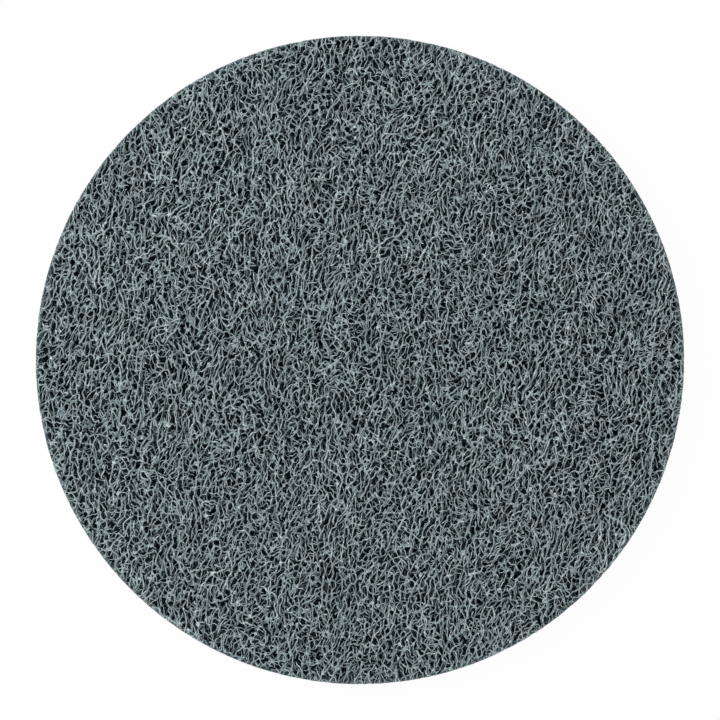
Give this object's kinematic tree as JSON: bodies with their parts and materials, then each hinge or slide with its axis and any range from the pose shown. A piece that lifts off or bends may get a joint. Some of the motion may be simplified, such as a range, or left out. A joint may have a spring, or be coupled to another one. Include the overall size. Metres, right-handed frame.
{
  "type": "non-woven abrasive disc",
  "caption": "Flat round non-woven abrasive disc: a die-cut round of open, resin-bonded grey fibre web for finishing, held by a hook-faced backing pad.",
  "frame": {"origin": "middle of the flat back face, on the surface that the disc rests on", "axes": "+Z along the disc's own axis, from the back face to the working face; the fibres are laid mostly at 73 degrees from +X towards +Y"},
  "size_m": [0.125, 0.125, 0.008],
  "materials": {
    "web": "matt grey fibre with slightly satin resin where strands meet"
  },
  "bodies": {
    "root": {"web_disc": "web"}
  },
  "joints": []
}
